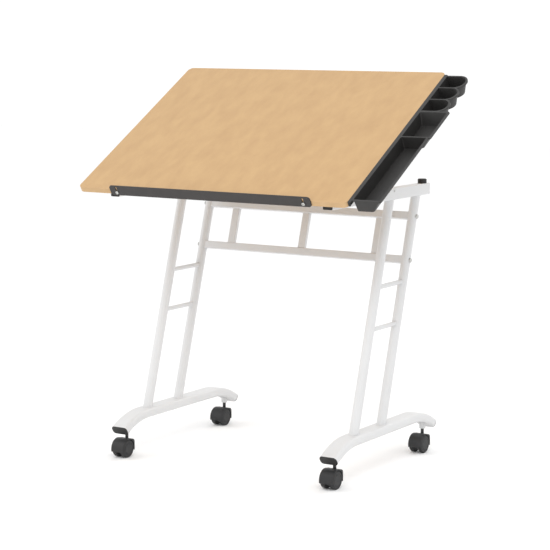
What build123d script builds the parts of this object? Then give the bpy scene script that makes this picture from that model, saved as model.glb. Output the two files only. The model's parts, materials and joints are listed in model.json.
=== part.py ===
from build123d import *
import math
import os

os.makedirs("parts", exist_ok=True)

# A tilting drafting table on four twin-wheel casters: a white tubular frame with two side
# arms, a wooden board that pivots at the front of the arms and is propped by two stays,
# a pencil ledge that slides on the front edge and a moulded side tray on the right edge.
# X runs to the table's right, Y to its back and Z up. Lengths are millimetres.

# ---- Driving dimensions ----

# Board and its pivot. The board is drawn lying flat, then turned about the pivot.
BOARD_TILT = 30.0
BOARD_LEFT = -412.0
BOARD_RIGHT = 404.0
BOARD_DEPTH = 604.0
BOARD_THICK = 15.0
BOARD_CORNER = 15.0
BAND_THICK = 1.5
BAND_ROUND = 0.9
PIVOT_Y = -258.3
PIVOT_Z = 727.0
PIVOT_INSET = 53.4      # from the board's front edge back to the pivot
PIVOT_DROP = 27.0       # from the board's underside down to the pivot

# Side frames
SIDE_X = 324.5          # half the distance between the two side frames
ARM_WIDTH = 27.0
ARM_HEIGHT = 30.0
ARM_FRONT = -277.5
ARM_BACK = 237.5
ARM_CORNER = 3.0
TUBE_WALL = 1.5
UPRIGHT_DIA = 25.0
UPRIGHT_LEAN = 16.92    # degrees, leaning towards the back
UPRIGHT_FRONT_Y = -179.0    # where each upright's axis would meet the floor
UPRIGHT_REAR_Y = -33.5
RUNG_DIA = 12.0
RUNG_HEIGHTS = (489.0, 382.0)

# Feet: a flat middle with both ends curving down
FOOT_WIDTH = 50.0
FOOT_HEIGHT = 24.0
FOOT_CORNER = 9.0
FOOT_TOP = 124.0
FOOT_FLAT_HALF = 158.0
FOOT_ARC_RADIUS = 207.0
FOOT_ARC_ANGLE = 31.8   # degrees

# Cross-frame between the rear uprights
RAIL_HEIGHTS = (657.8, 544.0)
RAIL_TALL = 21.0
RAIL_DEEP = 16.0
RAIL_CORNER = 2.5
BAR_WIDE = 22.0
BAR_DEEP = 12.0
BAR_CORNER = 2.1
BAR_SPACING = 230.0
PLUG_SET_IN = 3.0       # a rail plug sits this far inside the rail's end
PLUG_LENGTH = 21.0
PLUG_LOOSE = 0.1

# End caps, bumpers and bolts
CAP_FACE = 2.5
CAP_PLUG = 10.0
CAP_ROUND = 1.2
FOOT_PLUG = 6.0
FOOT_PLUG_LOOSE = 0.6
BUMPER_DIA = 24.0
BUMPER_HEIGHT = 11.7
BUMPER_Y = 220.0
BUMPER_ROUND = 2.5
BOLT_DIA = 6.0
BOLT_HEAD_DIA = 12.0
BOLT_HEAD = 3.5
BOLT_PROUD = 1.5        # how far a bolt stands out of its nut
HEAD_ROUND = 0.6        # a head's rim rounding, as a share of its height
NUT_ACROSS = 10.0
NUT_HEIGHT = 4.2
NUT_GAP = 0.3
PIN_CLEARANCE = 0.06    # radial, between a pin and the part that turns on it
SIDE_GAP = 0.5          # between plates that slide past each other
PAST = 1.0              # how far a cutter runs past the face it starts from

# Brackets, stays and the slotted tracks that the stays run in
PLATE = 3.0
EAR_WIDTH = 24.0
FLANGE_WIDTH = 34.0
FLANGE_LENGTH = 36.0
BRACKET_SCREW_SET_IN = 10.0     # from the flange's free edge
BRACKET_SCREW_SPREAD = 10.0     # each side of the ear's middle
STAY_LENGTH = 185.0     # also the distance from the board's pivot to the stay's upper pin
STAY_WIDTH = 16.0
RIVET_HEAD_RADIUS = 5.0
RIVET_HEAD = 2.0
TRACK_HEIGHT = 20.0
TRACK_DEPTH = 8.5
TRACK_LIP = 2.2
TRACK_CAVITY_DEPTH = 4.4
TRACK_CAVITY = 13.4
TRACK_SLOT = 7.0
TRACK_FRONT_END = 4.0
TRACK_BACK_END = 130.0
TRACK_CAVITY_ROOM = 8.0     # the cavity's start ahead of the slot's front centre
TRACK_SCREW_YS = (12.0, 40.0)
TRACK_SCREW_RISE = 8.2
TRACK_SCREW_DIA = 3.0
TRACK_SCREW_HEAD_DIA = 6.4
TRACK_SCREW_HEAD = 1.6
TRACK_SCREW_BITE = 1.4
CLAMP_HEAD_DIA = 12.0
CLAMP_HEAD = 2.6
CLAMP_HEAD_GAP = 0.9
CLAMP_PROUD = 2.0
KNOB_RADIUS = 14.0
KNOB_LENGTH = 13.0
KNOB_LOBES = 6
KNOB_DIMPLE_RADIUS = 4.5
KNOB_DIMPLE_REACH = 2.0     # the dimples' centres, outside the knob's rim
KNOB_BOSS_RADIUS = 8.0
KNOB_BOSS = 3.0
SCREW_DIA = 4.0
SCREW_HEAD_DIA = 8.0
SCREW_HEAD = 2.2
SCREW_LENGTH = 12.0

# Pencil ledge
LEDGE_LENGTH = 609.0
LEDGE_LOW = -16.5       # below the board's top surface
LEDGE_HIGH = 12.5       # above it, with the ledge raised
LEDGE_THICK = 3.2
LEDGE_CORNER = 8.0
LEDGE_ROUND = 1.0
LEDGE_GAP = 0.4
LEDGE_TRAVEL = 15.0
LEDGE_SLOT_WIDTH = 5.0
LEDGE_SCREW_X = 283.0
LEDGE_SCREW_DIA = 4.0
LEDGE_SCREW_HEAD_DIA = 9.2
LEDGE_SCREW_HEAD = 2.4
LEDGE_SCREW_GAP = 0.3
CROSS_WIDTH = 1.2
CROSS_REACH = 2.6
CROSS_DEPTH = 1.3

# Side tray, in the board's own directions: across (u), up the slope (v) and out of the top (n)
TRAY_RAIL = 4.2
TRAY_RAIL_DROP = 13.5
TRAY_RAIL_FRONT = 6.0
TRAY_RAIL_BACK = 592.0
TRAY_SCREW_FIRST = 46.0
TRAY_SCREW_SPACING = 168.0
TRAY_SCREW_COUNT = 4
TRAY_SCREW_N = -8.0
TRAY_SCREW_DIA = 3.5
TRAY_SCREW_HEAD_DIA = 6.8
TRAY_SCREW_HEAD = 2.0
TRAY_SCREW_BITE = 10.0
TRAY_FRONT = 13.0
TRAY_BACK = 588.0
TRAY_INNER = 413.0
TRAY_INNER_BASE = 415.0
TRAY_DEPTH = 35.0
TRAY_RIM = 4.0
TRAY_WEB = 2.4
TRAY_LIP = 3.0
TRAY_WALL = 2.0
TRAY_CORNER = 6.0
TRAY_RIM_CORNER = 4.0
TRAY_SLOPE = 2.0        # how far the lengthwise walls draw in towards the base
TROUGH_BACK = 296.0
TROUGH_OUTER = 489.0
TROUGH_OUTER_BASE = 463.0
BOX_BACK = 413.0
BOX_BACK_BASE = 401.0
BOX_OUTER = 494.5
BOX_OUTER_BASE = 468.0
CUP_COUNT = 3
CUP_OUTER = 480.5
CUP_OUTER_BASE = 468.5
CUP_TAPER = 3.0

# Casters
CASTER_Y = 237.4
FLOOR_Z = 6.5
WHEEL_RADIUS = 24.0
WHEEL_WIDTH = 13.9
WHEEL_GAP = 0.6         # between a wheel and the web beside it
WHEEL_ROUND = 4.0
WHEEL_GROOVE_RADIUS = 15.5
WHEEL_GROOVE_WIDTH = 1.4
WHEEL_GROOVE = 0.8
WHEEL_FACE = 2.5        # the closed face outside the axle's bore
CASTER_TRAIL = 18.0
CASTER_WEB = 11.0
CASTER_WIDTH = 40.0
HOOD_RADIUS = 27.2
HOOD_WELL = 25.2
HOOD_SKIRT = -7.0       # the hood's lower edge, from the axle
HOOD_TOP = 24.5         # the flat around the stem, from the axle
HOOD_NECK_RADIUS = 9.0
HOOD_ROUND = 1.6
STEM_DIA = 9.0
STEM_TOP = 93.0
STEM_SEAT = 12.0        # how far the stem goes down into the hood
SOCKET_DIA = 17.0
SOCKET_LOW = 70.0
SOCKET_TOP = 95.0
SOCKET_BORE_TOP = 93.5

# ---- Places that follow from the driving dimensions ----

ARM_TOP = PIVOT_Z + ARM_HEIGHT / 2
ARM_LOW = PIVOT_Z - ARM_HEIGHT / 2
ARM_INNER = SIDE_X - ARM_WIDTH / 2
ARM_OUTER = SIDE_X + ARM_WIDTH / 2
LEAN = math.tan(math.radians(UPRIGHT_LEAN))
PIVOT_N = -BOARD_THICK - PIVOT_DROP
STAY_V = PIVOT_INSET + STAY_LENGTH
EAR_OUTER = ARM_INNER - 1.0
EAR_INNER = EAR_OUTER - PLATE
TRACK_INNER = ARM_INNER - TRACK_DEPTH
STAY_OUTER = TRACK_INNER - SIDE_GAP
STAY_INNER = STAY_OUTER - PLATE
STAY_EAR_INNER = STAY_OUTER + SIDE_GAP
STAY_EAR_OUTER = STAY_EAR_INNER + PLATE
KNOB_OUTER = STAY_INNER - SIDE_GAP
KNOB_INNER = KNOB_OUTER - KNOB_LENGTH
AXLE_Z = FLOOR_Z + WHEEL_RADIUS

tilt = math.radians(BOARD_TILT)
STAY_TOP_Y = PIVOT_Y + STAY_LENGTH * math.cos(tilt)
STAY_TOP_Z = PIVOT_Z + STAY_LENGTH * math.sin(tilt)
STAY_FOOT_Y = PIVOT_Y + 2 * STAY_LENGTH * math.cos(tilt)
STAY_FOOT_FLAT_Y = PIVOT_Y + 2 * STAY_LENGTH

# board_place carries board space (u, v, n), whose origin is on the top surface at the
# front edge, to the tilted board.
board_turn = Location((0, PIVOT_Y, PIVOT_Z), (BOARD_TILT, 0, 0))
board_place = board_turn * Location((0, -PIVOT_INSET, -PIVOT_N))

parts = {}


def add(name, *solids):
    """Keep the solids of one named piece."""
    parts[name] = Compound([piece for solid in solids for piece in solid.solids()])


def add_on_board(name, *solids):
    """Keep a piece that was drawn in board space."""
    add(name, *[board_place * solid for solid in solids])


def block(x0, x1, y0, y1, z0, z1):
    """A box between two corners."""
    centre = Location(((x0 + x1) / 2, (y0 + y1) / 2, (z0 + z1) / 2))
    return centre * Box(abs(x1 - x0), abs(y1 - y0), abs(z1 - z0))


def rod_x(radius, x0, x1, y, z):
    """A round rod along X."""
    return Location(((x0 + x1) / 2, y, z), (0, 90, 0)) * Cylinder(radius, abs(x1 - x0))


def rod_y(radius, y0, y1, x, z):
    """A round rod along Y."""
    return Location((x, (y0 + y1) / 2, z), (90, 0, 0)) * Cylinder(radius, abs(y1 - y0))


def rod_z(radius, z0, z1, x, y):
    """A round rod along Z."""
    return Location((x, y, (z0 + z1) / 2)) * Cylinder(radius, abs(z1 - z0))


def dome_x(radius, x_face, side, height, y, z):
    """A bolt head with a rounded rim, standing on the plane x = x_face towards side."""
    head = rod_x(radius, x_face, x_face + side * height, y, z)
    rim = head.edges().filter_by(GeomType.CIRCLE).sort_by(Axis.X)
    return fillet(rim[-1] if side > 0 else rim[0], height * HEAD_ROUND)


def hexagon_x(across, x0, x1, y, z):
    """A hexagon nut blank along X."""
    outline = RegularPolygon(across / 2, 6, major_radius=False)
    return extrude(Plane((x0, y, z), x_dir=(0, 1, 0), z_dir=(1, 0, 0)) * outline, x1 - x0)


SIDES = (("left", -1), ("right", 1))
ENDS = (("front", -1), ("rear", 1))

# ---- Side frames ----


def arm(side):
    """A rectangular tube along Y, open at both ends, drilled for the pivot bolt."""
    outline = Plane((side * SIDE_X, ARM_FRONT, PIVOT_Z), x_dir=(1, 0, 0), z_dir=(0, 1, 0))
    outer = RectangleRounded(ARM_WIDTH, ARM_HEIGHT, ARM_CORNER)
    inner = RectangleRounded(ARM_WIDTH - 2 * TUBE_WALL, ARM_HEIGHT - 2 * TUBE_WALL, ARM_CORNER - TUBE_WALL)
    tube = extrude(outline * (outer - inner), ARM_BACK - ARM_FRONT)
    return tube - rod_x(BOLT_DIA / 2, side * (ARM_INNER - PAST), side * (ARM_OUTER + PAST), PIVOT_Y, PIVOT_Z)


def arm_cap(side, y, outward):
    """A cap with a plug that fits inside the end of an arm."""
    outline = Plane((side * SIDE_X, y, PIVOT_Z), x_dir=(1, 0, 0), z_dir=(0, outward, 0))
    face = extrude(outline * RectangleRounded(ARM_WIDTH, ARM_HEIGHT, ARM_CORNER), CAP_FACE)
    face = fillet(face.edges().group_by(Axis.Y)[-1 if outward > 0 else 0], CAP_ROUND)
    plug = RectangleRounded(ARM_WIDTH - 2 * TUBE_WALL, ARM_HEIGHT - 2 * TUBE_WALL, ARM_CORNER - TUBE_WALL)
    return face + extrude(outline * plug, -CAP_PLUG)


def bumper(side):
    """A round rubber stop that the board rests on when it lies flat."""
    disc = rod_z(BUMPER_DIA / 2, ARM_TOP, ARM_TOP + BUMPER_HEIGHT, side * SIDE_X, BUMPER_Y)
    return fillet(disc.edges().group_by(Axis.Z)[-1], BUMPER_ROUND)


def upright_rod(radius, side, floor_y):
    """A long leaning rod on an upright's axis."""
    reach = 2 * ARM_TOP
    place = Location((side * SIDE_X, floor_y, 0), (-UPRIGHT_LEAN, 0, 0))
    return place * Cylinder(radius, reach)


def upright(side, floor_y):
    """A leaning round tube from the foot's top to the arm's underside."""
    tube = upright_rod(UPRIGHT_DIA / 2, side, floor_y)
    tube = tube - upright_rod(UPRIGHT_DIA / 2 - TUBE_WALL, side, floor_y)
    slab = block(-2 * SIDE_X, 2 * SIDE_X, -ARM_TOP, ARM_TOP, FOOT_TOP, ARM_LOW)
    return tube & slab


def upright_y(floor_y, height):
    return floor_y + height * LEAN


def rung(side, height):
    """A thin rod between the two uprights of one side."""
    y0 = upright_y(UPRIGHT_FRONT_Y, height)
    y1 = upright_y(UPRIGHT_REAR_Y, height)
    rod = rod_y(RUNG_DIA / 2, y0, y1, side * SIDE_X, height)
    for floor_y in (UPRIGHT_FRONT_Y, UPRIGHT_REAR_Y):
        rod = rod - upright_rod(UPRIGHT_DIA / 2, side, floor_y)
    return rod


def foot_path(side):
    """The foot's centre line: an arc up, a flat middle and an arc down."""
    centre_z = FOOT_TOP - FOOT_HEIGHT / 2
    sweep_angle = math.radians(FOOT_ARC_ANGLE)
    run = FOOT_ARC_RADIUS * math.sin(sweep_angle)
    drop = FOOT_ARC_RADIUS * (1 - math.cos(sweep_angle))
    middle_run = FOOT_ARC_RADIUS * math.sin(sweep_angle / 2)
    middle_drop = FOOT_ARC_RADIUS * (1 - math.cos(sweep_angle / 2))
    x = side * SIDE_X

    def arc(end):
        return ThreePointArc(
            (x, end * (FOOT_FLAT_HALF + run), centre_z - drop),
            (x, end * (FOOT_FLAT_HALF + middle_run), centre_z - middle_drop),
            (x, end * FOOT_FLAT_HALF, centre_z),
        )

    flat = Line((x, -FOOT_FLAT_HALF, centre_z), (x, FOOT_FLAT_HALF, centre_z))
    return Wire([arc(-1).edge(), flat.edge(), arc(1).edge()])


def foot_end_plane(side, end):
    """The plane of the foot's cut end, facing outwards."""
    sweep_angle = math.radians(FOOT_ARC_ANGLE)
    run = FOOT_ARC_RADIUS * math.sin(sweep_angle)
    drop = FOOT_ARC_RADIUS * (1 - math.cos(sweep_angle))
    origin = (side * SIDE_X, end * (FOOT_FLAT_HALF + run), FOOT_TOP - FOOT_HEIGHT / 2 - drop)
    return Plane(origin, x_dir=(1, 0, 0), z_dir=(0, end * math.cos(sweep_angle), -math.sin(sweep_angle)))


def foot_outline(shrink):
    return RectangleRounded(FOOT_WIDTH - 2 * shrink, FOOT_HEIGHT - 2 * shrink, FOOT_CORNER - shrink)


def foot_solid(side, shrink):
    """The foot's outline carried along its centre line."""
    path = foot_path(side)
    start = Plane(path @ 0, x_dir=(1, 0, 0), z_dir=path % 0)
    return sweep(start * foot_outline(shrink), path=path)


def foot_cap(side, end):
    """A cap with a short plug in the foot's cut end."""
    plane = foot_end_plane(side, end)
    face = extrude(plane * foot_outline(0), CAP_FACE)
    face = fillet(face.faces().sort_by(Axis(plane.origin, plane.z_dir))[-1].edges(), CAP_ROUND)
    return face + extrude(plane * foot_outline(TUBE_WALL + FOOT_PLUG_LOOSE), -FOOT_PLUG)


def foot(side):
    """The foot's tube, with a hole in its underside for each caster socket."""
    tube = foot_solid(side, 0) - foot_solid(side, TUBE_WALL)
    for _, end in ENDS:
        tube = tube - rod_z(SOCKET_DIA / 2, SOCKET_LOW, SOCKET_TOP, side * SIDE_X, end * CASTER_Y)
    return tube


for side_name, side in SIDES:
    add("arm_" + side_name, arm(side))
    add("upright_front_" + side_name, upright(side, UPRIGHT_FRONT_Y))
    add("upright_rear_" + side_name, upright(side, UPRIGHT_REAR_Y))
    add("rungs_" + side_name, *[rung(side, height) for height in RUNG_HEIGHTS])
    add("foot_" + side_name, foot(side))

add("arm_bumpers", *[bumper(side) for _, side in SIDES])
add("arm_front_caps", *[arm_cap(side, ARM_FRONT, -1) for _, side in SIDES])
add("arm_rear_caps", *[arm_cap(side, ARM_BACK, 1) for _, side in SIDES])
add("foot_end_caps", *[foot_cap(side, end) for _, side in SIDES for _, end in ENDS])

# ---- Cross-frame: two rails and three bars in the leaning plane of the rear uprights ----

lean_plane = Location((0, UPRIGHT_REAR_Y, 0), (-UPRIGHT_LEAN, 0, 0))
rail_places = [height / math.cos(math.radians(UPRIGHT_LEAN)) for height in RAIL_HEIGHTS]


def rectangle_tube_x(length, tall, deep, wall):
    """A rectangular tube along X, centred on the origin."""
    section = RectangleRounded(deep, tall, RAIL_CORNER)
    section = section - RectangleRounded(deep - 2 * wall, tall - 2 * wall, RAIL_CORNER - wall)
    return extrude(Plane((-length / 2, 0, 0), x_dir=(0, 1, 0), z_dir=(1, 0, 0)) * section, length)


def without_uprights(solid):
    for _, side in SIDES:
        solid = solid - upright_rod(UPRIGHT_DIA / 2, side, UPRIGHT_REAR_Y)
    return solid


def rail(place):
    tube = rectangle_tube_x(2 * SIDE_X, RAIL_TALL, RAIL_DEEP, TUBE_WALL)
    return without_uprights(lean_plane * (Location((0, 0, place)) * tube))


def rail_plug(side, place):
    """A threaded plug inside a rail's end."""
    reach = SIDE_X - UPRIGHT_DIA / 2
    shrink = 2 * (TUBE_WALL + PLUG_LOOSE)
    section = RectangleRounded(RAIL_DEEP - shrink, RAIL_TALL - shrink, RAIL_CORNER - TUBE_WALL)
    start = Plane((side * (reach - PLUG_SET_IN), 0, place), x_dir=(0, 1, 0), z_dir=(-side, 0, 0))
    plug = extrude(start * section, PLUG_LENGTH)
    bolt_hole = rod_x(BOLT_DIA / 2, side * (reach - 2 * PLUG_LENGTH), side * SIDE_X, 0, place)
    return lean_plane * (plug - bolt_hole)


def rail_bolt(side, place):
    """A bolt through a rear upright into the rail's plug."""
    head_x = side * (SIDE_X + UPRIGHT_DIA / 2)
    shank = rod_x(BOLT_DIA / 2, head_x, side * (SIDE_X - UPRIGHT_DIA / 2 - PLUG_LENGTH), 0, place)
    return lean_plane * (dome_x(BOLT_HEAD_DIA / 2, head_x, side, BOLT_HEAD, 0, place) + shank)


bar_low = min(rail_places) + RAIL_TALL / 2
bar_high = max(rail_places) - RAIL_TALL / 2
bar_hollow = RectangleRounded(BAR_WIDE - 2 * TUBE_WALL, BAR_DEEP - 2 * TUBE_WALL, BAR_CORNER - TUBE_WALL)
bar_section = RectangleRounded(BAR_WIDE, BAR_DEEP, BAR_CORNER) - bar_hollow

add("top_rail", rail(rail_places[0]))
add("bottom_rail", rail(rail_places[1]))
for bar_name, bar_x in (("left", -BAR_SPACING), ("centre", 0), ("right", BAR_SPACING)):
    add("bar_" + bar_name, lean_plane * extrude(Plane((bar_x, 0, bar_low)) * bar_section, bar_high - bar_low))
add("rail_plugs", *[rail_plug(side, place) for _, side in SIDES for place in rail_places])
add("rail_bolts", *[rail_bolt(side, place) for _, side in SIDES for place in rail_places])
for side_name, side in SIDES:
    drilled = parts["upright_rear_" + side_name].solid()
    for place in rail_places:
        hole = rod_x(BOLT_DIA / 2, side * (SIDE_X - UPRIGHT_DIA), side * (SIDE_X + UPRIGHT_DIA), 0, place)
        drilled = drilled - lean_plane * hole
    add("upright_rear_" + side_name, drilled)

# ---- Pivot bolts, tracks and their screws, on the arms ----


def pivot_fasteners(side):
    """The bolt that a board bracket turns on, and its nut."""
    head = dome_x(BOLT_HEAD_DIA / 2, side * ARM_OUTER, side, BOLT_HEAD, PIVOT_Y, PIVOT_Z)
    nut_face = EAR_INNER - NUT_GAP
    shank_end = nut_face - NUT_HEIGHT - BOLT_PROUD
    shank = rod_x(BOLT_DIA / 2, side * ARM_OUTER, side * shank_end, PIVOT_Y, PIVOT_Z)
    nut = hexagon_x(NUT_ACROSS, side * (nut_face - NUT_HEIGHT), side * nut_face, PIVOT_Y, PIVOT_Z)
    return head + shank + nut


def slot_solid(width, x0, x1, y0, y1, z):
    """A round-ended slot cutter through the X range x0 to x1."""
    cutter = block(x0, x1, y0, y1, z - width / 2, z + width / 2)
    return cutter + rod_x(width / 2, x0, x1, y0, z) + rod_x(width / 2, x0, x1, y1, z)


def track(side):
    """A slotted channel on the arm's inner face: the clamp bolt's head runs inside it."""
    body = block(side * TRACK_INNER, side * ARM_INNER, TRACK_FRONT_END, TRACK_BACK_END,
                 PIVOT_Z - TRACK_HEIGHT / 2, PIVOT_Z + TRACK_HEIGHT / 2)
    cavity_x = TRACK_INNER + TRACK_LIP
    cavity_y = STAY_FOOT_Y - TRACK_CAVITY_ROOM
    cavity = block(side * cavity_x, side * (cavity_x + TRACK_CAVITY_DEPTH), cavity_y, TRACK_BACK_END + PAST,
                   PIVOT_Z - TRACK_CAVITY / 2, PIVOT_Z + TRACK_CAVITY / 2)
    slot = slot_solid(TRACK_SLOT, side * (TRACK_INNER - PAST), side * (cavity_x + PAST),
                      STAY_FOOT_Y, STAY_FOOT_FLAT_Y, PIVOT_Z)
    return body - cavity - slot


def track_screw(side, y):
    """A small screw from the arm's outer face into the track's back."""
    z = PIVOT_Z + TRACK_SCREW_RISE
    shank = rod_x(TRACK_SCREW_DIA / 2, side * ARM_OUTER, side * (ARM_INNER - TRACK_SCREW_BITE), y, z)
    return dome_x(TRACK_SCREW_HEAD_DIA / 2, side * ARM_OUTER, side, TRACK_SCREW_HEAD, y, z) + shank


add("pivot_fasteners", *[pivot_fasteners(side) for _, side in SIDES])
for side_name, side in SIDES:
    add("track_" + side_name, track(side))
add("track_screws", *[track_screw(side, y) for _, side in SIDES for y in TRACK_SCREW_YS])

# ---- Board, in board space ----

board_mid = (BOARD_LEFT + BOARD_RIGHT) / 2
board_wide = BOARD_RIGHT - BOARD_LEFT


def board_slab(inset):
    """The board's rounded outline, drawn in by inset."""
    outline = RectangleRounded(board_wide - 2 * inset, BOARD_DEPTH - 2 * inset, BOARD_CORNER - inset)
    return extrude(Plane((board_mid, BOARD_DEPTH / 2, -BOARD_THICK)) * outline, BOARD_THICK)


def edge_band():
    whole = board_slab(0)
    rims = whole.edges().group_by(Axis.Z)
    whole = fillet(rims[0] + rims[-1], BAND_ROUND)
    return whole - board_slab(BAND_THICK)


def bracket_screw_vs(v):
    return (v - BRACKET_SCREW_SPREAD, v + BRACKET_SCREW_SPREAD)


def bracket_screw_u(side, ear_outer):
    return side * (ear_outer - FLANGE_WIDTH + BRACKET_SCREW_SET_IN)


def bracket(side, v, ear_inner, ear_outer):
    """An angle bracket under the board, with a round-ended ear that carries a pin."""
    ear_x0 = side * ear_inner
    ear_x1 = side * ear_outer
    ear = block(ear_x0, ear_x1, v - EAR_WIDTH / 2, v + EAR_WIDTH / 2, PIVOT_N, -BOARD_THICK)
    ear = ear + rod_x(EAR_WIDTH / 2, ear_x0, ear_x1, v, PIVOT_N)
    flange = block(side * (ear_outer - FLANGE_WIDTH), ear_x1, v - FLANGE_LENGTH / 2, v + FLANGE_LENGTH / 2,
                   -BOARD_THICK - PLATE, -BOARD_THICK)
    pin_hole = rod_x(BOLT_DIA / 2 + PIN_CLEARANCE, ear_x0 - side * PAST, ear_x1 + side * PAST, v, PIVOT_N)
    angle = ear + flange - pin_hole
    u = bracket_screw_u(side, ear_outer)
    for screw_v in bracket_screw_vs(v):
        angle = angle - rod_z(SCREW_DIA / 2, -BOARD_THICK - PLATE - PAST, -BOARD_THICK, u, screw_v)
    return angle


def bracket_screws(side, v, ear_outer):
    """Pan-head wood screws through the bracket's flange into the board."""
    u = bracket_screw_u(side, ear_outer)
    face = -BOARD_THICK - PLATE
    made = []
    for screw_v in bracket_screw_vs(v):
        head = rod_z(SCREW_HEAD_DIA / 2, face - SCREW_HEAD, face, u, screw_v)
        head = fillet(head.edges().group_by(Axis.Z)[0], SCREW_HEAD * HEAD_ROUND)
        made.append(head + rod_z(SCREW_DIA / 2, face, face + SCREW_LENGTH, u, screw_v))
    return made


def stay_rivet(side):
    """The pin that a stay hangs on, headed at both ends."""
    inner_face = STAY_INNER - NUT_GAP
    inner_end = inner_face - RIVET_HEAD
    outer_end = STAY_EAR_OUTER + RIVET_HEAD
    outer_head = rod_x(RIVET_HEAD_RADIUS, side * STAY_EAR_OUTER, side * outer_end, STAY_V, PIVOT_N)
    inner_head = rod_x(RIVET_HEAD_RADIUS, side * inner_end, side * inner_face, STAY_V, PIVOT_N)
    shank = rod_x(BOLT_DIA / 2, side * inner_face, side * STAY_EAR_OUTER, STAY_V, PIVOT_N)
    return outer_head + inner_head + shank


def ledge_screw(u):
    """A cross-recess screw in the board's front edge that guides the ledge."""
    n = -BOARD_THICK / 2
    face = -LEDGE_GAP - LEDGE_THICK - LEDGE_SCREW_GAP
    tip = face - LEDGE_SCREW_HEAD
    head = rod_y(LEDGE_SCREW_HEAD_DIA / 2, tip, face, u, n)
    head = fillet(head.edges().group_by(Axis.Y)[0], LEDGE_SCREW_HEAD * HEAD_ROUND)
    half = CROSS_WIDTH / 2
    cross = block(u - CROSS_REACH, u + CROSS_REACH, tip - PAST, tip + CROSS_DEPTH, n - half, n + half)
    cross = cross + block(u - half, u + half, tip - PAST, tip + CROSS_DEPTH, n - CROSS_REACH, n + CROSS_REACH)
    return head - cross + rod_y(LEDGE_SCREW_DIA / 2, face, SCREW_LENGTH, u, n)


add_on_board("board_panel", board_slab(BAND_THICK))
add_on_board("edge_banding", edge_band())
screws = []
for side_name, side in SIDES:
    add_on_board("pivot_bracket_" + side_name, bracket(side, PIVOT_INSET, EAR_INNER, EAR_OUTER))
    add_on_board("stay_bracket_" + side_name, bracket(side, STAY_V, STAY_EAR_INNER, STAY_EAR_OUTER))
    screws += bracket_screws(side, PIVOT_INSET, EAR_OUTER)
    screws += bracket_screws(side, STAY_V, STAY_EAR_OUTER)
add_on_board("bracket_screws", *screws)
add_on_board("stay_rivets", *[stay_rivet(side) for _, side in SIDES])
add_on_board("ledge_screws", ledge_screw(-LEDGE_SCREW_X), ledge_screw(LEDGE_SCREW_X))

# ---- Pencil ledge, in board space ----


def ledge():
    """A flat strip with a rounded top edge and two upright slots."""
    high = LEDGE_HIGH - LEDGE_LOW
    outline = RectangleRounded(LEDGE_LENGTH, high, LEDGE_CORNER)
    place = Plane((0, -LEDGE_GAP, (LEDGE_HIGH + LEDGE_LOW) / 2), x_dir=(1, 0, 0), z_dir=(0, -1, 0))
    strip = extrude(place * outline, LEDGE_THICK)
    strip = fillet(strip.faces().sort_by(Axis.Y)[0].edges(), LEDGE_ROUND)
    low = -BOARD_THICK / 2
    radius = LEDGE_SLOT_WIDTH / 2
    y0 = -LEDGE_THICK - 2 * PAST
    for u in (-LEDGE_SCREW_X, LEDGE_SCREW_X):
        strip = strip - block(u - radius, u + radius, y0, 0, low, low + LEDGE_TRAVEL)
        strip = strip - rod_y(radius, y0, 0, u, low)
        strip = strip - rod_y(radius, y0, 0, u, low + LEDGE_TRAVEL)
    return strip


add_on_board("pencil_ledge", ledge())

# ---- Side tray, in board space ----


def tapered(top, base, top_n, base_n):
    """A solid between a top outline and a base outline, each a face on the plane n = 0."""
    return loft([Location((0, 0, base_n)) * base, Location((0, 0, top_n)) * top])


def rounded_face(u0, u1, v0, v1, radius):
    return Location(((u0 + u1) / 2, (v0 + v1) / 2)) * RectangleRounded(u1 - u0, v1 - v0, radius)


def box_pocket(v0, v1, v1_base, outer, outer_base, shrink, top_n, base_n):
    """A round-cornered compartment whose outer side slopes in towards its base."""
    radius = TRAY_CORNER - shrink
    top = rounded_face(TRAY_INNER + shrink, outer - shrink, v0 + shrink, v1 - shrink, radius)
    u0_base = TRAY_INNER_BASE + shrink
    v0_base = v0 + TRAY_SLOPE + shrink
    base = rounded_face(u0_base, outer_base - shrink, v0_base, v1_base - shrink, radius)
    return tapered(top, base, top_n, base_n)


def cup_face(v0, v1, left, outer):
    """An outline with a square inner end and a round outer end."""
    radius = (v1 - v0) / 2
    centre = outer - radius
    middle_v = (v0 + v1) / 2
    body = Location(((left + centre) / 2, middle_v)) * Rectangle(centre - left, 2 * radius)
    end = Location((centre, middle_v)) * Circle(radius)
    return (body + end).face()


def cup_pocket(v0, v1, shrink, top_n, base_n):
    """A cup whose round outer end slopes in towards its base."""
    top = cup_face(v0 + shrink, v1 - shrink, TRAY_INNER + shrink, CUP_OUTER - shrink)
    narrow = shrink + CUP_TAPER
    base = cup_face(v0 + narrow, v1 - narrow, TRAY_INNER + narrow, CUP_OUTER_BASE - shrink)
    return tapered(top, base, top_n, base_n)


CUP_FIRST = BOX_BACK + TRAY_LIP
CUP_PITCH = (TRAY_BACK - TRAY_LIP - CUP_FIRST) / CUP_COUNT
cup_starts = [CUP_FIRST + index * CUP_PITCH for index in range(CUP_COUNT)]


def tray_shells(shrink, top_n, base_n):
    """All the compartments, as outer bodies (shrink 0) or as their cavities."""
    trough_front = TRAY_FRONT + TRAY_LIP
    pockets = [
        box_pocket(trough_front, TROUGH_BACK, TROUGH_BACK - TRAY_SLOPE, TROUGH_OUTER, TROUGH_OUTER_BASE,
                   shrink, top_n, base_n),
        box_pocket(TROUGH_BACK, BOX_BACK, BOX_BACK_BASE, BOX_OUTER, BOX_OUTER_BASE, shrink, top_n, base_n),
    ]
    for v0 in cup_starts:
        pockets.append(cup_pocket(v0, v0 + CUP_PITCH, shrink, top_n, base_n))
    return pockets


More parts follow.
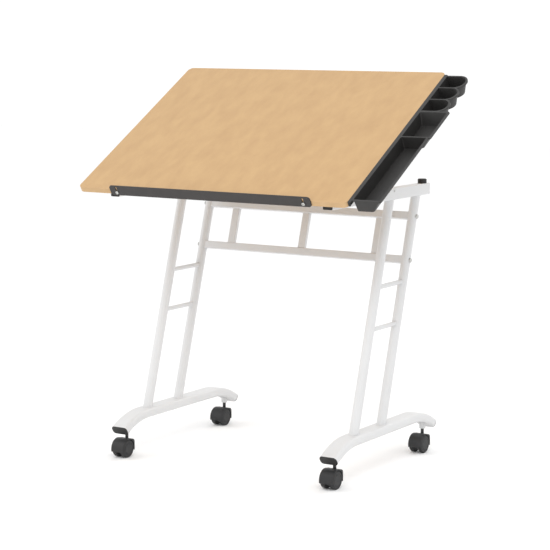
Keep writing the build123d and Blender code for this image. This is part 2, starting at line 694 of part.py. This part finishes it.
def tray_rim():
    """The flat rim that follows the compartments' outlines, with its web to the board."""
    inner = BOARD_RIGHT + TRAY_RAIL
    trough_back = TROUGH_BACK + TRAY_LIP
    outline = rounded_face(inner, TROUGH_OUTER + TRAY_LIP, TRAY_FRONT, trough_back, TRAY_RIM_CORNER)
    box_front = TROUGH_BACK - TRAY_LIP
    box_back = BOX_BACK + TRAY_LIP
    outline = outline + rounded_face(inner, BOX_OUTER + TRAY_LIP, box_front, box_back, TRAY_RIM_CORNER)
    for v0 in cup_starts:
        v1 = v0 + CUP_PITCH
        outline = outline + cup_face(v0 - TRAY_LIP, v1 + TRAY_LIP, TRAY_INNER, CUP_OUTER + TRAY_LIP)
    inner_strip = TRAY_INNER + 3 * TRAY_RIM_CORNER
    outline = outline + rounded_face(inner, inner_strip, BOX_BACK, TRAY_BACK, TRAY_RIM_CORNER)
    web = rounded_face(BOARD_RIGHT, TRAY_INNER, TRAY_RAIL_FRONT, TRAY_RAIL_BACK, TRAY_WEB / 3)
    return extrude(outline, -TRAY_RIM) + extrude(web, -TRAY_WEB)


def tray():
    """The rim, the compartments hung from it and the rail against the board's side."""
    body = tray_rim()
    for shell in tray_shells(0, -TRAY_RIM / 8, -TRAY_DEPTH):
        body = body + shell
    for cavity in tray_shells(TRAY_WALL, TRAY_RIM / 8, -TRAY_DEPTH + TRAY_WALL):
        body = body - cavity
    rail_outer = BOARD_RIGHT + TRAY_RAIL
    rail = block(BOARD_RIGHT, rail_outer, TRAY_RAIL_FRONT, TRAY_RAIL_BACK, -TRAY_RAIL_DROP, -TRAY_WEB / 2)
    body = body + rail
    for v in tray_screw_vs:
        body = body - rod_x(TRAY_SCREW_DIA / 2, BOARD_RIGHT - PAST, rail_outer + PAST, v, TRAY_SCREW_N)
    return body


def tray_screw(v):
    """A screw through the tray's rail into the board's side."""
    face = BOARD_RIGHT + TRAY_RAIL
    head = dome_x(TRAY_SCREW_HEAD_DIA / 2, face, 1, TRAY_SCREW_HEAD, v, TRAY_SCREW_N)
    return head + rod_x(TRAY_SCREW_DIA / 2, BOARD_RIGHT - TRAY_SCREW_BITE, face, v, TRAY_SCREW_N)


tray_screw_vs = [TRAY_SCREW_FIRST + index * TRAY_SCREW_SPACING for index in range(TRAY_SCREW_COUNT)]
add_on_board("side_tray", tray())
add_on_board("tray_screws", *[tray_screw(v) for v in tray_screw_vs])

# ---- Stays, clamp bolts and knobs ----


def stay(side):
    """A flat bar with round ends between the upper pin and the clamp bolt."""
    span = Vector(0, STAY_FOOT_Y - STAY_TOP_Y, PIVOT_Z - STAY_TOP_Z)
    x0 = side * STAY_INNER
    x1 = side * STAY_OUTER
    bar = slot_solid(STAY_WIDTH, x0, x1, 0, span.length, 0)
    bar = bar - rod_x(BOLT_DIA / 2 + PIN_CLEARANCE, x0 - side * PAST, x1 + side * PAST, 0, 0)
    bar = bar - rod_x(BOLT_DIA / 2, x0 - side * PAST, x1 + side * PAST, span.length, 0)
    return Location((0, STAY_TOP_Y, STAY_TOP_Z), (-BOARD_TILT, 0, 0)) * bar


def clamp_bolt(side):
    """The bolt whose head slides in the track and whose shank carries the knob."""
    head_x = TRACK_INNER + TRACK_LIP + CLAMP_HEAD_GAP
    head = rod_x(CLAMP_HEAD_DIA / 2, side * head_x, side * (head_x + CLAMP_HEAD), STAY_FOOT_Y, PIVOT_Z)
    return head + rod_x(BOLT_DIA / 2, side * head_x, side * (KNOB_INNER - CLAMP_PROUD), STAY_FOOT_Y, PIVOT_Z)


def knob(side):
    """A lobed hand knob with a bore for the clamp bolt."""
    body = rod_x(KNOB_RADIUS, side * KNOB_INNER, side * (KNOB_OUTER - KNOB_BOSS), 0, 0)
    inner = side * (KNOB_INNER - PAST)
    outer = side * (KNOB_OUTER + PAST)
    reach = KNOB_RADIUS + KNOB_DIMPLE_REACH
    for lobe in range(KNOB_LOBES):
        angle = 2 * math.pi * lobe / KNOB_LOBES
        dimple = rod_x(KNOB_DIMPLE_RADIUS, inner, outer, reach * math.cos(angle), reach * math.sin(angle))
        body = body - dimple
    body = body + rod_x(KNOB_BOSS_RADIUS, side * KNOB_INNER, side * KNOB_OUTER, 0, 0)
    body = body - rod_x(BOLT_DIA / 2 + PIN_CLEARANCE, inner, outer, 0, 0)
    return Location((0, STAY_FOOT_Y, PIVOT_Z)) * body


for side_name, side in SIDES:
    add("stay_" + side_name, stay(side))
    add("clamp_bolt_" + side_name, clamp_bolt(side))
    add("clamp_knob_" + side_name, knob(side))

# ---- Casters, each drawn about its axle's centre with the stem axis at y = CASTER_TRAIL ----


def hood():
    """The caster's body: a web between the wheels and a mudguard over them, flat at the stem."""
    ring = Circle(HOOD_RADIUS)
    neck = Location((CASTER_TRAIL, HOOD_TOP - HOOD_NECK_RADIUS)) * Circle(HOOD_NECK_RADIUS)
    outline = make_hull(ring.edges() + neck.edges())
    side_view = Plane((-CASTER_WIDTH / 2, 0, 0), x_dir=(0, 1, 0), z_dir=(1, 0, 0))
    body = extrude(side_view * outline, CASTER_WIDTH)
    body = fillet(body.edges().group_by(Axis.X)[0] + body.edges().group_by(Axis.X)[-1], HOOD_ROUND)
    reach = HOOD_RADIUS + HOOD_NECK_RADIUS
    body = body & block(-CASTER_WIDTH, CASTER_WIDTH, -reach, reach, HOOD_SKIRT, reach)
    for side in (-1, 1):
        body = body - rod_x(HOOD_WELL, side * CASTER_WEB / 2, side * CASTER_WIDTH, 0, 0)
    body = body - rod_x(BOLT_DIA / 2, -CASTER_WIDTH, CASTER_WIDTH, 0, 0)
    return body - rod_z(STEM_DIA / 2, HOOD_TOP - STEM_SEAT, reach, 0, CASTER_TRAIL)


WHEEL_INNER = CASTER_WEB / 2 + WHEEL_GAP
WHEEL_OUTER = WHEEL_INNER + WHEEL_WIDTH
BORE_END = WHEEL_OUTER - WHEEL_FACE


def wheel(side):
    """One of the twin wheels: a rounded tread, a closed outer face with a groove and a blind bore."""
    tyre = rod_x(WHEEL_RADIUS, side * WHEEL_INNER, side * WHEEL_OUTER, 0, 0)
    tyre = fillet(tyre.edges().filter_by(GeomType.CIRCLE), WHEEL_ROUND)
    groove_x = side * (WHEEL_OUTER - WHEEL_GROOVE)
    groove = rod_x(WHEEL_GROOVE_RADIUS + WHEEL_GROOVE_WIDTH, groove_x, side * (WHEEL_OUTER + PAST), 0, 0)
    groove = groove - rod_x(WHEEL_GROOVE_RADIUS, groove_x, side * (WHEEL_OUTER + PAST), 0, 0)
    bore = rod_x(BOLT_DIA / 2 + PIN_CLEARANCE, side * (WHEEL_INNER - PAST), side * BORE_END, 0, 0)
    return tyre - groove - bore


def stem():
    """The round pin between the hood and the socket."""
    return rod_z(STEM_DIA / 2, HOOD_TOP - STEM_SEAT, STEM_TOP - AXLE_Z, 0, CASTER_TRAIL)


def axle():
    """The pin through the web that both wheels turn on."""
    half = BORE_END - PAST
    return rod_x(BOLT_DIA / 2, -half, half, 0, 0)


def socket(side, end):
    """The blind tube through the foot's underside that the caster's stem turns in."""
    x = side * SIDE_X
    y = end * CASTER_Y
    bore = rod_z(STEM_DIA / 2 + PIN_CLEARANCE, SOCKET_LOW - PAST, SOCKET_BORE_TOP, x, y)
    return rod_z(SOCKET_DIA / 2, SOCKET_LOW, SOCKET_TOP, x, y) - bore


for side_name, side in SIDES:
    for end_name, end in ENDS:
        corner = end_name + "_" + side_name
        place = Location((side * SIDE_X, end * CASTER_Y - CASTER_TRAIL, AXLE_Z))
        add("caster_hood_" + corner, place * hood())
        add("caster_stem_" + corner, place * stem())
        add("caster_axle_" + corner, place * axle())
        add("caster_wheels_" + corner, place * wheel(-1), place * wheel(1))
add("caster_sockets", *[socket(side, end) for _, side in SIDES for _, end in ENDS])

# ---- The origin goes on the floor, under the middle of the whole table ----

whole_box = Compound([solid for shape in parts.values() for solid in shape.solids()]).bounding_box()
origin_shift = Vector(-whole_box.center().X, -whole_box.center().Y, -whole_box.min.Z)

for name, shape in parts.items():
    export_step(Location(origin_shift) * shape, "parts/" + name + ".step")
print(len(parts), "pieces, origin shift", origin_shift)
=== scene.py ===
import bpy
import bmesh
import json
import math
from mathutils import Matrix, Vector


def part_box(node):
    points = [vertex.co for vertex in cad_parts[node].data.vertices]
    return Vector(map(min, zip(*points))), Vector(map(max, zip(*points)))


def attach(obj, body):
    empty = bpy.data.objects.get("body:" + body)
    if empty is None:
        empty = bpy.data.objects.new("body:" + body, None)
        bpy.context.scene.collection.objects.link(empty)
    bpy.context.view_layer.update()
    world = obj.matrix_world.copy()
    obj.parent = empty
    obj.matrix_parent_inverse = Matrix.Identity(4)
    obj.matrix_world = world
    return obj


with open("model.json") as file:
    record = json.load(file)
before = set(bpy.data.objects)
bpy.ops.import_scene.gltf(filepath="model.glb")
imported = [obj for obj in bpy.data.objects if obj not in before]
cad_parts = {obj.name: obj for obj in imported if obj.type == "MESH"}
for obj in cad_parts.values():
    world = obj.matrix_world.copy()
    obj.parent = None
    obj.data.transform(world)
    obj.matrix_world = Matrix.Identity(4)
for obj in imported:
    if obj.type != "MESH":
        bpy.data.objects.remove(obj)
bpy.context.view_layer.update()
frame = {"nodes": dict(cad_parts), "record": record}
nodes = frame["nodes"]

TILT = math.radians(30.0)

# ---------------------------------------------------------------- node helpers


class Shader:
    """A material with its Principled shader and short calls for common nodes."""

    def __init__(self, name):
        self.material = bpy.data.materials.new(name)
        self.material.use_nodes = True
        self.tree = self.material.node_tree
        self.surface = self.tree.nodes["Principled BSDF"]
        self.coords = self.tree.nodes.new("ShaderNodeTexCoord").outputs["Object"]

    def put(self, socket, value):
        self.surface.inputs[socket].default_value = value

    def link(self, output, socket):
        self.tree.links.new(output, self.surface.inputs[socket])

    def node(self, kind, inputs=None, **settings):
        made = self.tree.nodes.new(kind)
        for key, value in settings.items():
            setattr(made, key, value)
        for key, value in (inputs or {}).items():
            if isinstance(value, bpy.types.NodeSocket):
                self.tree.links.new(value, made.inputs[key])
            else:
                made.inputs[key].default_value = value
        return made

    def mapping(self, scale=(1, 1, 1), rotation=(0, 0, 0)):
        inputs = {"Vector": self.coords, "Scale": scale, "Rotation": rotation}
        return self.node("ShaderNodeMapping", inputs).outputs["Vector"]

    def noise(self, vector, scale, detail=2.0, roughness=0.5, distortion=0.0):
        inputs = {"Vector": vector, "Scale": scale, "Detail": detail, "Roughness": roughness,
                  "Distortion": distortion}
        return self.node("ShaderNodeTexNoise", inputs).outputs["Fac"]

    def ramp(self, factor, stops):
        """A colour ramp with (position, colour) stops."""
        made = self.node("ShaderNodeValToRGB", {"Fac": factor})
        elements = made.color_ramp.elements
        while len(elements) < len(stops):
            elements.new(0.5)
        for element, (position, colour) in zip(elements, stops):
            element.position = position
            element.color = (*colour, 1)
        return made.outputs["Color"]

    def spread(self, factor, low, high):
        """Maps a 0..1 factor to low..high."""
        inputs = {"Value": factor, "To Min": low, "To Max": high}
        return self.node("ShaderNodeMapRange", inputs).outputs["Result"]

    def blend(self, factor, first, second):
        """Mixes two colours, each a plain colour or a socket."""
        made = self.node("ShaderNodeMix", data_type="RGBA", blend_type="MIX")
        for index, value in ((0, factor), (6, first), (7, second)):
            if isinstance(value, bpy.types.NodeSocket):
                self.tree.links.new(value, made.inputs[index])
            elif index == 0:
                made.inputs[index].default_value = value
            else:
                made.inputs[index].default_value = (*value, 1)
        return made.outputs[2]

    def bump(self, height, distance, strength=1.0):
        inputs = {"Height": height, "Distance": distance, "Strength": strength}
        return self.node("ShaderNodeBump", inputs).outputs["Normal"]


# ---------------------------------------------------------------- materials


def shade(colour, factor):
    return tuple(channel * factor for channel in colour)


def powder_coat(name, colour, roughness=0.34):
    """Sprayed and baked paint: a faint orange peel, cloudy gloss and a little dust."""
    made = Shader(name)
    cloud = made.noise(made.coords, 9.0, 3.0)
    made.link(made.ramp(cloud, ((0.3, shade(colour, 0.965)), (0.7, colour))), "Base Color")
    gloss = made.noise(made.coords, 40.0, 3.0)
    made.link(made.spread(gloss, roughness - 0.05, roughness + 0.08), "Roughness")
    peel = made.noise(made.coords, 900.0, 2.0, 0.4)
    made.link(made.bump(peel, 0.00006, 0.5), "Normal")
    made.put("Coat Weight", 0.15)
    made.put("Coat Roughness", 0.2)
    return made.material


def moulded_plastic(name, colour, roughness=0.5, grain=1600.0, depth=0.00006):
    """Moulded plastic: spark-eroded grain, uneven sheen and faint flow streaks."""
    made = Shader(name)
    streak = made.noise(made.mapping((1.0, 0.25, 1.0)), 26.0, 4.0)
    tones = ((0.3, shade(colour, 0.86)), (0.72, shade(colour, 1.12)))
    made.link(made.ramp(streak, tones), "Base Color")
    sheen = made.noise(made.coords, 60.0, 3.0)
    made.link(made.spread(sheen, roughness - 0.07, roughness + 0.07), "Roughness")
    pebble = made.node("ShaderNodeTexVoronoi", {"Vector": made.coords, "Scale": grain})
    made.link(made.bump(pebble.outputs["Distance"], depth, 0.6), "Normal")
    return made.material


def rubber(name):
    """Dull black rubber with a coarser grain than the plastic."""
    return moulded_plastic(name, (0.022, 0.022, 0.022), 0.72, 900.0, 0.0001)


def board_coords(made, scale):
    """Coordinates along the board: X across, Y up the slope."""
    return made.mapping(scale, (-TILT, 0, 0))


def maple(name, light, dark, grain_scale=1.0):
    """Light maple laminate: long grain up the board's slope, fine pores and a satin lacquer."""
    made = Shader(name)
    flow = made.noise(board_coords(made, (15.0, 0.35, 15.0)), 2.0 * grain_scale, 4.0, 0.55, 0.1)
    lines = made.noise(board_coords(made, (150.0, 2.2, 150.0)), 1.6 * grain_scale, 5.0, 0.6)
    fleck = made.noise(board_coords(made, (520.0, 16.0, 520.0)), 1.0, 2.0, 0.5)
    tone = made.ramp(flow, ((0.30, dark), (0.66, light)))
    toned = made.blend(made.spread(lines, 0.0, 0.34), tone, shade(dark, 0.90))
    made.link(made.blend(made.spread(fleck, 0.0, 0.16), toned, shade(dark, 0.70)), "Base Color")
    made.link(made.spread(lines, 0.38, 0.52), "Roughness")
    made.link(made.bump(fleck, 0.00005, 0.35), "Normal")
    made.put("Coat Weight", 0.10)
    made.put("Coat Roughness", 0.38)
    return made.material


def plated_steel(name, colour=(0.62, 0.62, 0.60)):
    """Zinc plating with a mottled, slightly uneven shine."""
    made = Shader(name)
    made.put("Metallic", 1.0)
    mottle = made.noise(made.coords, 120.0, 4.0)
    made.link(made.ramp(mottle, ((0.3, shade(colour, 0.8)), (0.7, colour))), "Base Color")
    made.link(made.spread(made.noise(made.coords, 260.0, 4.0), 0.26, 0.45), "Roughness")
    made.link(made.bump(made.noise(made.coords, 1400.0), 0.00004, 0.4), "Normal")
    return made.material


WHITE = (0.665, 0.668, 0.672)
materials = {
    "white_powder": powder_coat("white_powder_coat", WHITE),
    "white_plastic": moulded_plastic("white_cap_plastic", (0.60, 0.60, 0.60), 0.42),
    "board_wood": maple("maple_laminate", (0.568, 0.360, 0.161), (0.50, 0.305, 0.133)),
    "board_edge": maple("maple_edge_band", (0.585, 0.38, 0.19), (0.515, 0.33, 0.155), 1.4),
    "tray_plastic": moulded_plastic("charcoal_tray_plastic", (0.023, 0.022, 0.021), 0.52),
    "ledge_plastic": moulded_plastic("black_ledge_plastic", (0.026, 0.022, 0.021), 0.44),
    "black_plastic": moulded_plastic("black_cap_plastic", (0.016, 0.016, 0.016), 0.55),
    "caster_plastic": moulded_plastic("caster_hood_plastic", (0.013, 0.013, 0.014), 0.50),
    "caster_tread": moulded_plastic("caster_wheel_plastic", (0.015, 0.015, 0.016), 0.55),
    "rubber": rubber("bumper_rubber"),
    "black_steel": powder_coat("black_steel", (0.03, 0.03, 0.03), 0.4),
    "bracket_steel": powder_coat("black_bracket_coat", (0.035, 0.035, 0.035), 0.42),
    "zinc_steel": plated_steel("zinc_plated_steel"),
}

slot_of = {part["node"]: part["material_slot"] for part in frame["record"]["subparts"]}


def dress(piece, material):
    piece.data.materials.clear()
    piece.data.materials.append(material)


for name, node in nodes.items():
    dress(node, materials[slot_of[name]])


def soften(names, width):
    """Rounds the sharp moulded or pressed edges a little."""
    for name in names:
        bevel = nodes[name].modifiers.new("soft_edges", "BEVEL")
        bevel.width = width
        bevel.segments = 2
        bevel.limit_method = "ANGLE"
        bevel.angle_limit = math.radians(40)
        bevel.use_clamp_overlap = True


soften(("side_tray",), 0.0005)

# ---------------------------------------------------------------- detail pieces

SIDES = (("left", -1), ("right", 1))
ENDS = (("front", -1), ("rear", 1))


def new_piece(name, build, material, body):
    """Runs build(bmesh) into a new object that rides on body."""
    mesh = bpy.data.meshes.new(name)
    work = bmesh.new()
    build(work)
    bmesh.ops.recalc_face_normals(work, faces=work.faces)
    for face in work.faces:
        face.smooth = True
    work.to_mesh(mesh)
    work.free()
    piece = bpy.data.objects.new(name, mesh)
    bpy.context.scene.collection.objects.link(piece)
    dress(piece, material)
    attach(piece, body)
    return piece


def bead(work, points, radius, ripple=0.12, sides=8):
    """A closed rounded bead through a ring of points, with a slight welded ripple."""
    count = len(points)
    centre = sum(points, Vector()) / count
    rings = []
    for index, point in enumerate(points):
        along = (points[(index + 1) % count] - points[index - 1]).normalized()
        outward = (point - centre)
        outward = (outward - along * outward.dot(along)).normalized()
        across = along.cross(outward)
        swell = radius * (1 + ripple * math.sin(index * 2.4))
        ring = []
        for step in range(sides):
            angle = 2 * math.pi * step / sides
            turned = math.cos(angle) * outward + math.sin(angle) * across
            ring.append(work.verts.new(point + swell * turned))
        rings.append(ring)
    for index in range(count):
        first, second = rings[index], rings[(index + 1) % count]
        for step in range(sides):
            after = (step + 1) % sides
            work.faces.new((first[step], first[after], second[after], second[step]))


UPRIGHT_RADIUS = 0.0125
RUNG_RADIUS = 0.006
LEAN = math.radians(16.92)
WELD = 0.0011
WELD_STEPS = 64
RUNG_WELD_STEPS = 40
SOCKET_WELD_STEPS = 48
END_INSET = 0.0002       # keeps the upright's welds just inside its ends


def turns(steps=WELD_STEPS):
    return [2 * math.pi * step / steps for step in range(steps)]


def upright_axis(name):
    """(x, y at floor level) of an upright's centre line, from its box."""
    low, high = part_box(name)
    half = UPRIGHT_RADIUS / math.cos(LEAN)
    y_low = low.y + half
    return (low.x + high.x) / 2, y_low - low.z * math.tan(LEAN)


def upright_weld_rings():
    """Rings of points where each upright meets its foot and its arm."""
    rings = []
    half = UPRIGHT_RADIUS / math.cos(LEAN)
    for side, _ in SIDES:
        for end, _ in ENDS:
            name = "upright_" + end + "_" + side
            low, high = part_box(name)
            x, floor_y = upright_axis(name)
            for z in (low.z + END_INSET, high.z - END_INSET):
                y = floor_y + z * math.tan(LEAN)
                rings.append([Vector((x + UPRIGHT_RADIUS * math.cos(a), y + half * math.sin(a), z))
                              for a in turns()])
    return rings


def rung_weld_rings():
    """Rings where the thin rungs meet the round uprights."""
    rings = []
    radius = RUNG_RADIUS
    for side, _ in SIDES:
        low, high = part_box("rungs_" + side)
        for z_middle in (low.z + radius, high.z - radius):
            for end, sign in ENDS:
                x, floor_y = upright_axis("upright_" + end + "_" + side)
                ring = []
                for angle in turns(RUNG_WELD_STEPS):
                    dx = radius * math.cos(angle)
                    z = z_middle + radius * math.sin(angle)
                    reach = math.sqrt(UPRIGHT_RADIUS ** 2 - dx ** 2) / math.cos(LEAN)
                    ring.append(Vector((x + dx, floor_y + z * math.tan(LEAN) - sign * reach, z)))
                rings.append(ring)
    return rings


def rectangle_points(wide, tall, per_side=10):
    """Points round a rectangle, as (across, up) pairs."""
    across, up = wide / 2, tall / 2
    corners = [(-across, -up), (across, -up), (across, up), (-across, up)]
    made = []
    for index, (x0, y0) in enumerate(corners):
        x1, y1 = corners[(index + 1) % 4]
        made += [(x0 + (x1 - x0) * step / per_side, y0 + (y1 - y0) * step / per_side)
                 for step in range(per_side)]
    return made


def lean_point(x, deep, up, floor_y):
    """The scene point that is deep behind and up along the rear uprights' centre line."""
    y = floor_y + up * math.sin(LEAN) + deep * math.cos(LEAN)
    return Vector((x, y, up * math.cos(LEAN) - deep * math.sin(LEAN)))


RAIL_TALL = 0.021
RAIL_DEEP = 0.016
BAR_WIDE = 0.022
BAR_DEEP = 0.012
WELD_SHRINK = 0.001      # how much smaller a weld's outline is than its bar


def rail_weld_rings():
    """Rings where the rails meet the rear uprights and the bars meet the rails."""
    rings = []
    _, floor_y = upright_axis("upright_rear_left")
    for rail, sign in (("top_rail", -1), ("bottom_rail", 1)):
        low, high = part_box(rail)
        along = (low.z + high.z) / 2 / math.cos(LEAN)
        for side, direction in SIDES:
            x_axis, _ = upright_axis("upright_rear_" + side)
            ring = []
            for deep, up in rectangle_points(RAIL_DEEP - WELD_SHRINK, RAIL_TALL - WELD_SHRINK):
                reach = math.sqrt(UPRIGHT_RADIUS ** 2 - deep ** 2)
                ring.append(lean_point(x_axis - direction * reach, deep, along + up, floor_y))
            rings.append(ring)
        for bar in ("left", "centre", "right"):
            bar_low, bar_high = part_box("bar_" + bar)
            x = (bar_low.x + bar_high.x) / 2
            up = along + sign * RAIL_TALL / 2
            outline = rectangle_points(BAR_WIDE - WELD_SHRINK, BAR_DEEP - WELD_SHRINK)
            rings.append([lean_point(x + across, deep, up, floor_y) for across, deep in outline])
    return rings


FOOT_FLAT_HALF = 0.158
FOOT_BEND_RADIUS = 0.207
FOOT_THICK = 0.024
FOOT_UNDER_RADIUS = FOOT_BEND_RADIUS - FOOT_THICK / 2
SOCKET_RADIUS = 0.0085


def socket_weld_rings():
    """Rings where the caster sockets meet the curved underside of the feet."""
    rings = []
    for side, _ in SIDES:
        foot_low, foot_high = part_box("foot_" + side)
        foot_mid = (foot_low.y + foot_high.y) / 2
        for end, _ in ENDS:
            stem_low, stem_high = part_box("caster_stem_" + end + "_" + side)
            x = (stem_low.x + stem_high.x) / 2
            y = (stem_low.y + stem_high.y) / 2
            ring = []
            for angle in turns(SOCKET_WELD_STEPS):
                py = y + SOCKET_RADIUS * math.sin(angle)
                past = abs(py - foot_mid) - FOOT_FLAT_HALF
                drop = FOOT_UNDER_RADIUS - math.sqrt(FOOT_UNDER_RADIUS ** 2 - max(past, 0) ** 2)
                z = foot_high.z - FOOT_THICK - drop
                ring.append(Vector((x + SOCKET_RADIUS * math.cos(angle), py, z)))
            rings.append(ring)
    return rings


def weld_beads():
    groups = {
        "upright_welds": upright_weld_rings(),
        "rung_welds": rung_weld_rings(),
        "rail_welds": rail_weld_rings(),
        "socket_welds": socket_weld_rings(),
    }
    for name, rings in groups.items():
        def build(work, rings=rings):
            for ring in rings:
                bead(work, ring, WELD)
        piece = new_piece(name, build, materials["white_powder"], "frame")


weld_beads()

# ---------------------------------------------------------------- floor, lights, camera


FLOOR_HALF = 12.0
PAPER_LOW = (0.945, 0.945, 0.945)
PAPER_HIGH = (0.96, 0.96, 0.96)
WORLD_STRENGTH = 1.06


def studio_floor():
    """A plain, almost white sheet of paper under the table."""
    mesh = bpy.data.meshes.new("floor")
    half = FLOOR_HALF
    corners = [(-half, -half, 0), (half, -half, 0), (half, half, 0), (-half, half, 0)]
    mesh.from_pydata(corners, [], [(0, 1, 2, 3)])
    floor = bpy.data.objects.new("floor", mesh)
    bpy.context.scene.collection.objects.link(floor)
    made = Shader("floor_paper")
    soft = made.noise(made.coords, 3.0, 2.0)
    made.link(made.ramp(soft, ((0.3, PAPER_LOW), (0.7, PAPER_HIGH))), "Base Color")
    made.put("Roughness", 0.9)
    made.put("Specular IOR Level", 0.2)
    dress(floor, made.material)


def softbox(name, place, target, size, power):
    light = bpy.data.lights.new(name, "AREA")
    light.shape = "RECTANGLE"
    light.size, light.size_y = size
    light.energy = power
    lamp = bpy.data.objects.new(name, light)
    lamp.location = place
    lamp.rotation_euler = (Vector(target) - Vector(place)).to_track_quat("-Z", "Y").to_euler()
    bpy.context.scene.collection.objects.link(lamp)


def studio_lights():
    middle = (0.0, 0.0, 0.6)
    softbox("key", (1.6, -3.0, 3.6), middle, (2.6, 2.2), 55)
    softbox("fill", (-3.4, -2.0, 2.2), middle, (2.4, 2.4), 18)
    softbox("back", (0.5, 3.4, 3.0), middle, (3.0, 1.6), 20)
    world = bpy.data.worlds.new("studio")
    bpy.context.scene.world = world
    world.use_nodes = True
    background = world.node_tree.nodes["Background"]
    background.inputs["Color"].default_value = (1.0, 1.0, 1.0, 1)
    background.inputs["Strength"].default_value = WORLD_STRENGTH
    bpy.context.scene.view_settings.view_transform = "Standard"


CAMERA_AZIMUTH = math.radians(31.84)
CAMERA_ELEVATION = math.radians(7.478)
CAMERA_ROLL = math.radians(0.10)
CAMERA_DISTANCE = 4.9815
TARGET_ASIDE = 0.01901   # the camera's target, from the middle of the feet
TARGET_HEIGHT = 0.51855
SENSOR_WIDTH = 36.0
LENS = 121.76
SHIFT_X = -0.01215
SHIFT_Y = -0.01922


def camera():
    """The camera at the photograph's angle."""
    left_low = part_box("foot_left")[0]
    right_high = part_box("foot_right")[1]
    frame_middle = (left_low + right_high) / 2
    target = Vector((frame_middle.x + TARGET_ASIDE, frame_middle.y, TARGET_HEIGHT))
    level = math.cos(CAMERA_ELEVATION)
    back = Vector((math.sin(CAMERA_AZIMUTH) * level, -math.cos(CAMERA_AZIMUTH) * level,
                   math.sin(CAMERA_ELEVATION)))
    right = (-back).cross(Vector((0, 0, 1))).normalized()
    up = right.cross(-back)
    turn = Matrix((right, up, back)).transposed() @ Matrix.Rotation(CAMERA_ROLL, 3, "Z")
    data = bpy.data.cameras.new("camera")
    data.sensor_width = SENSOR_WIDTH
    data.lens = LENS
    data.shift_x = SHIFT_X
    data.shift_y = SHIFT_Y
    made = bpy.data.objects.new("camera", data)
    made.matrix_world = Matrix.Translation(target + back * CAMERA_DISTANCE) @ turn.to_4x4()
    bpy.context.scene.collection.objects.link(made)
    bpy.context.scene.camera = made


studio_floor()
studio_lights()
camera()
